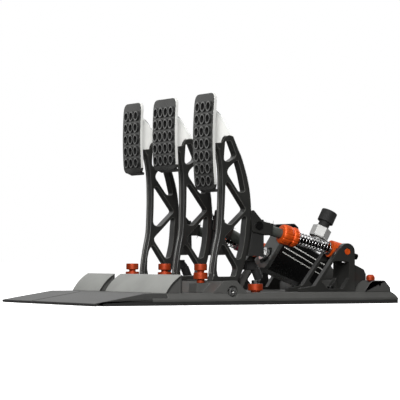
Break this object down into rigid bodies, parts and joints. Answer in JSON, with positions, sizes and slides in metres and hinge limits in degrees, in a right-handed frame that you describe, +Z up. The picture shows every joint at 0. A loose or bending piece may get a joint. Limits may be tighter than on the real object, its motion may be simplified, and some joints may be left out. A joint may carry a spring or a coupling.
{
  "type": "sim racing pedal set",
  "caption": "Sim racing pedal set: sprung throttle and clutch and a hydraulic brake on two steel floor plates, with drilled face plates, truss arms and orange adjusters.",
  "frame": {"origin": "on the floor, at the middle of the set's length and width", "axes": "+X is the driver's right, +Y points away from the driver along the pedals' travel, +Z is up"},
  "size_m": [0.311, 0.45, 0.2778],
  "materials": {
    "base_paint": "satin powder coat",
    "heel_paint": "fine textured powder coat",
    "rail_paint": "bead-blasted anodised",
    "rubber_black": "matte",
    "arm_paint": "satin powder coat",
    "bright_alloy": "brushed, clear anodised",
    "plate_alloy": "dark satin anodised with bright edges",
    "orange_alloy": "orange anodised",
    "steel_bright": "turned",
    "spring_steel": "polished wire",
    "divider_red": "red anodised",
    "cylinder_black": "black anodised",
    "cap_alloy": "machined",
    "piston_chrome": "polished",
    "screw_black": "black oxide steel",
    "plug_plastic": "moulded"
  },
  "bodies": {
    "frame": {"base_plate_main": "base_paint", "base_plate_clutch": "base_paint", "base_rubber": "rubber_black", "heel_plate_main": "heel_paint", "heel_plate_clutch": "heel_paint", "heel_rail_main": "rail_paint", "heel_rail_clutch": "rail_paint", "rear_rail_main": "base_paint", "rear_rail_clutch": "base_paint", "pivot_beam_main": "base_paint", "pivot_beam_clutch": "base_paint", "axles": "steel_bright", "base_screws": "screw_black", "rear_bracket_throttle": "arm_paint", "rear_bracket_clutch": "arm_paint", "sensor_brackets": "base_paint", "position_sensors": "plug_plastic", "cylinder_body": "cylinder_black", "cylinder_cap": "cap_alloy", "cylinder_mount": "base_paint", "reservoir": "cylinder_black", "pressure_sensor": "steel_bright", "sensor_plug": "plug_plastic"},
    "throttle_pedal": {"arm_throttle": "arm_paint", "head_throttle": "bright_alloy", "face_plate_throttle": "plate_alloy", "lug_throttle": "arm_paint"},
    "brake_pedal": {"arm_brake": "arm_paint", "head_brake": "bright_alloy", "face_plate_brake": "plate_alloy", "lug_brake": "arm_paint"},
    "clutch_pedal": {"arm_clutch": "arm_paint", "head_clutch": "bright_alloy", "face_plate_clutch": "plate_alloy", "lug_clutch": "arm_paint"},
    "throttle_link": {"clevis_throttle": "arm_paint", "clevis_bolt_throttle": "screw_black", "rod_throttle": "steel_bright"},
    "brake_link": {"clevis_brake": "arm_paint", "clevis_bolt_brake": "screw_black", "rod_brake": "steel_bright"},
    "clutch_link": {"clevis_clutch": "arm_paint", "clevis_bolt_clutch": "screw_black", "rod_clutch": "steel_bright"},
    "throttle_preload": {"preload_knob_throttle": "orange_alloy"},
    "clutch_preload": {"preload_knob_clutch": "orange_alloy"},
    "throttle_lock": {"lock_knob_throttle": "orange_alloy"},
    "clutch_lock": {"lock_knob_clutch": "orange_alloy"},
    "throttle_trunnion": {"trunnion_throttle": "orange_alloy", "spring_throttle": "spring_steel"},
    "clutch_trunnion": {"trunnion_clutch": "orange_alloy", "spring_clutch_front": "spring_steel", "spring_clutch_rear": "spring_steel"},
    "clutch_divider": {"divider_clutch": "divider_red"},
    "brake_piston": {"piston": "piston_chrome"},
    "throttle_stop": {"stop_knob_throttle": "orange_alloy"},
    "brake_stop": {"stop_knob_brake": "orange_alloy"},
    "clutch_stop": {"stop_knob_clutch": "orange_alloy"},
    "travel_stop": {"travel_knob": "orange_alloy"},
    "rear_clamp": {"rear_clamp_knob": "orange_alloy"}
  },
  "joints": [
    {"name": "throttle_press", "type": "hinge", "parent": "frame", "child": "throttle_pedal", "pos_m": [0.106, -0.0255, 0.0173], "axis": [-1, 0, 0], "range_deg": [0, 12], "stiffness_Nm_per_rad": 4, "springref_deg": -14.32, "deforming": ["spring_throttle"]},
    {"name": "brake_press", "type": "hinge", "parent": "frame", "child": "brake_pedal", "pos_m": [-0.002, -0.0255, 0.0173], "axis": [-1, 0, 0], "range_deg": [0, 7], "stiffness_Nm_per_rad": 8, "springref_deg": -14.32},
    {"name": "clutch_press", "type": "hinge", "parent": "frame", "child": "clutch_pedal", "pos_m": [-0.1045, -0.0255, 0.0173], "axis": [-1, 0, 0], "range_deg": [0, 12], "stiffness_Nm_per_rad": 4, "springref_deg": -14.32, "deforming": ["spring_clutch_front", "spring_clutch_rear"]},
    {"name": "throttle_link_swing", "type": "hinge", "parent": "throttle_pedal", "child": "throttle_link", "pos_m": [0.106, 0.0304, 0.1042], "axis": [1, 0, 0], "range_deg": [0, 16.08]},
    {"name": "brake_link_swing", "type": "hinge", "parent": "brake_pedal", "child": "brake_link", "pos_m": [-0.002, 0.02841, 0.10545], "axis": [1, 0, 0], "range_deg": [0, 8.01]},
    {"name": "clutch_link_swing", "type": "hinge", "parent": "clutch_pedal", "child": "clutch_link", "pos_m": [-0.1045, 0.02841, 0.10545], "axis": [1, 0, 0], "range_deg": [0, 15.75]},
    {"name": "throttle_trunnion_swing", "type": "hinge", "parent": "frame", "child": "throttle_trunnion", "pos_m": [0.106, 0.1615, 0.0694], "axis": [1, 0, 0], "range_deg": [0, 4.08]},
    {"name": "clutch_trunnion_swing", "type": "hinge", "parent": "frame", "child": "clutch_trunnion", "pos_m": [-0.1045, 0.1615, 0.0694], "axis": [1, 0, 0], "range_deg": [0, 3.75]},
    {"name": "brake_piston_slide", "type": "slide", "parent": "frame", "child": "brake_piston", "axis": [0, 0.887, -0.4617], "range_m": [0, 0.01261]},
    {"name": "clutch_divider_slide", "type": "slide", "parent": "clutch_trunnion", "child": "clutch_divider", "axis": [0, 0.9652, -0.2614], "range_m": [0, 0.00995]},
    {"name": "throttle_preload_turn", "type": "hinge", "parent": "throttle_link", "child": "throttle_preload", "pos_m": [0.106, 0.0304, 0.1042], "axis": [0, 0.9665, -0.2566], "range_deg": [-180, 180]},
    {"name": "clutch_preload_turn", "type": "hinge", "parent": "clutch_link", "child": "clutch_preload", "pos_m": [-0.1045, 0.02841, 0.10545], "axis": [0, 0.9652, -0.2614], "range_deg": [-180, 180]},
    {"name": "throttle_lock_turn", "type": "hinge", "parent": "throttle_link", "child": "throttle_lock", "pos_m": [0.106, 0.0304, 0.1042], "axis": [0, 0.9665, -0.2566], "range_deg": [-180, 180]},
    {"name": "clutch_lock_turn", "type": "hinge", "parent": "clutch_link", "child": "clutch_lock", "pos_m": [-0.1045, 0.02841, 0.10545], "axis": [0, 0.9652, -0.2614], "range_deg": [-180, 180]},
    {"name": "throttle_stop_turn", "type": "hinge", "parent": "frame", "child": "throttle_stop", "pos_m": [0.106, -0.05, 0.028], "axis": [0, 0, 1], "range_deg": [-180, 180]},
    {"name": "brake_stop_turn", "type": "hinge", "parent": "frame", "child": "brake_stop", "pos_m": [-0.002, -0.05, 0.028], "axis": [0, 0, 1], "range_deg": [-180, 180]},
    {"name": "clutch_stop_turn", "type": "hinge", "parent": "frame", "child": "clutch_stop", "pos_m": [-0.1045, -0.05, 0.028], "axis": [0, 0, 1], "range_deg": [-180, 180]},
    {"name": "travel_stop_turn", "type": "hinge", "parent": "frame", "child": "travel_stop", "pos_m": [0.106, 0.0319, 0.02], "axis": [0, 0, 1], "range_deg": [-180, 180]},
    {"name": "rear_clamp_turn", "type": "hinge", "parent": "frame", "child": "rear_clamp", "pos_m": [0.143, 0.188, 0.032], "axis": [0, 0, 1], "range_deg": [-180, 180]}
  ],
  "couplings": [
    {"joint": "throttle_link_swing", "follows": "throttle_press", "ratio": 1.3356},
    {"joint": "throttle_trunnion_swing", "follows": "throttle_press", "ratio": 0.3356},
    {"joint": "clutch_link_swing", "follows": "clutch_press", "ratio": 1.3082},
    {"joint": "clutch_trunnion_swing", "follows": "clutch_press", "ratio": 0.3082},
    {"joint": "clutch_divider_slide", "follows": "clutch_press", "m_per_rad": 0.04704},
    {"joint": "brake_link_swing", "follows": "brake_press", "ratio": 1.137},
    {"joint": "brake_piston_slide", "follows": "brake_press", "m_per_rad": 0.1024}
  ]
}
